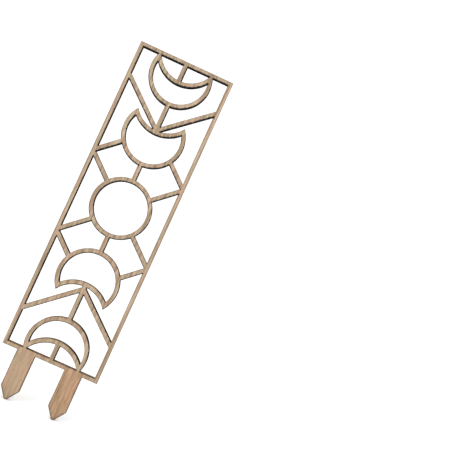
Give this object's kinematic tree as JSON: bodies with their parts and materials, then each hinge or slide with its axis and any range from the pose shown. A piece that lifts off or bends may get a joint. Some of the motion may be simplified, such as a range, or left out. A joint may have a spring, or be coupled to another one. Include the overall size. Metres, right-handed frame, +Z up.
{
  "type": "plant trellis panel",
  "caption": "Slim upright wooden trellis panel for a potted plant: a framed column of moon phases held by braces and struts, on pointed ground stakes.",
  "frame": {"origin": "on the soil line, at the middle of the frame's lower edge and of the thickness", "axes": "+X to the right, +Z up along the panel, front face towards -Y"},
  "size_m": [0.107, 0.005, 0.4002],
  "materials": {
    "frame_wood": "bare plywood face with scorched, nearly black cut edges",
    "moon_wood": "bare plywood face with scorched, nearly black cut edges",
    "strut_wood": "bare plywood face with scorched, nearly black cut edges",
    "left_stake_wood": "pale bare plywood face with scorched cut edges",
    "right_stake_wood": "browner bare plywood face with streaks along the grain and scorched cut edges"
  },
  "bodies": {
    "root": {"left_stile": "frame_wood", "right_stile": "frame_wood", "top_rail": "frame_wood", "bottom_rail": "frame_wood", "top_crescent_outer_arc": "moon_wood", "top_crescent_inner_arc": "moon_wood", "upper_gibbous_outer_arc": "moon_wood", "upper_gibbous_inner_arc": "moon_wood", "full_moon_ring": "moon_wood", "lower_gibbous_outer_arc": "moon_wood", "lower_gibbous_inner_arc": "moon_wood", "bottom_crescent_outer_arc": "moon_wood", "bottom_crescent_inner_arc": "moon_wood", "top_post": "strut_wood", "upper_brace_post": "strut_wood", "upper_ring_post": "strut_wood", "lower_ring_post": "strut_wood", "lower_brace_post": "strut_wood", "bottom_post": "strut_wood", "upper_left_brace": "strut_wood", "upper_right_brace": "strut_wood", "lower_left_brace": "strut_wood", "lower_right_brace": "strut_wood", "upper_left_gibbous_strut": "strut_wood", "upper_right_gibbous_strut": "strut_wood", "lower_left_gibbous_strut": "strut_wood", "lower_right_gibbous_strut": "strut_wood", "upper_left_ring_strut": "strut_wood", "upper_right_ring_strut": "strut_wood", "lower_left_ring_strut": "strut_wood", "lower_right_ring_strut": "strut_wood", "left_stake": "left_stake_wood", "right_stake": "right_stake_wood"}
  },
  "joints": []
}
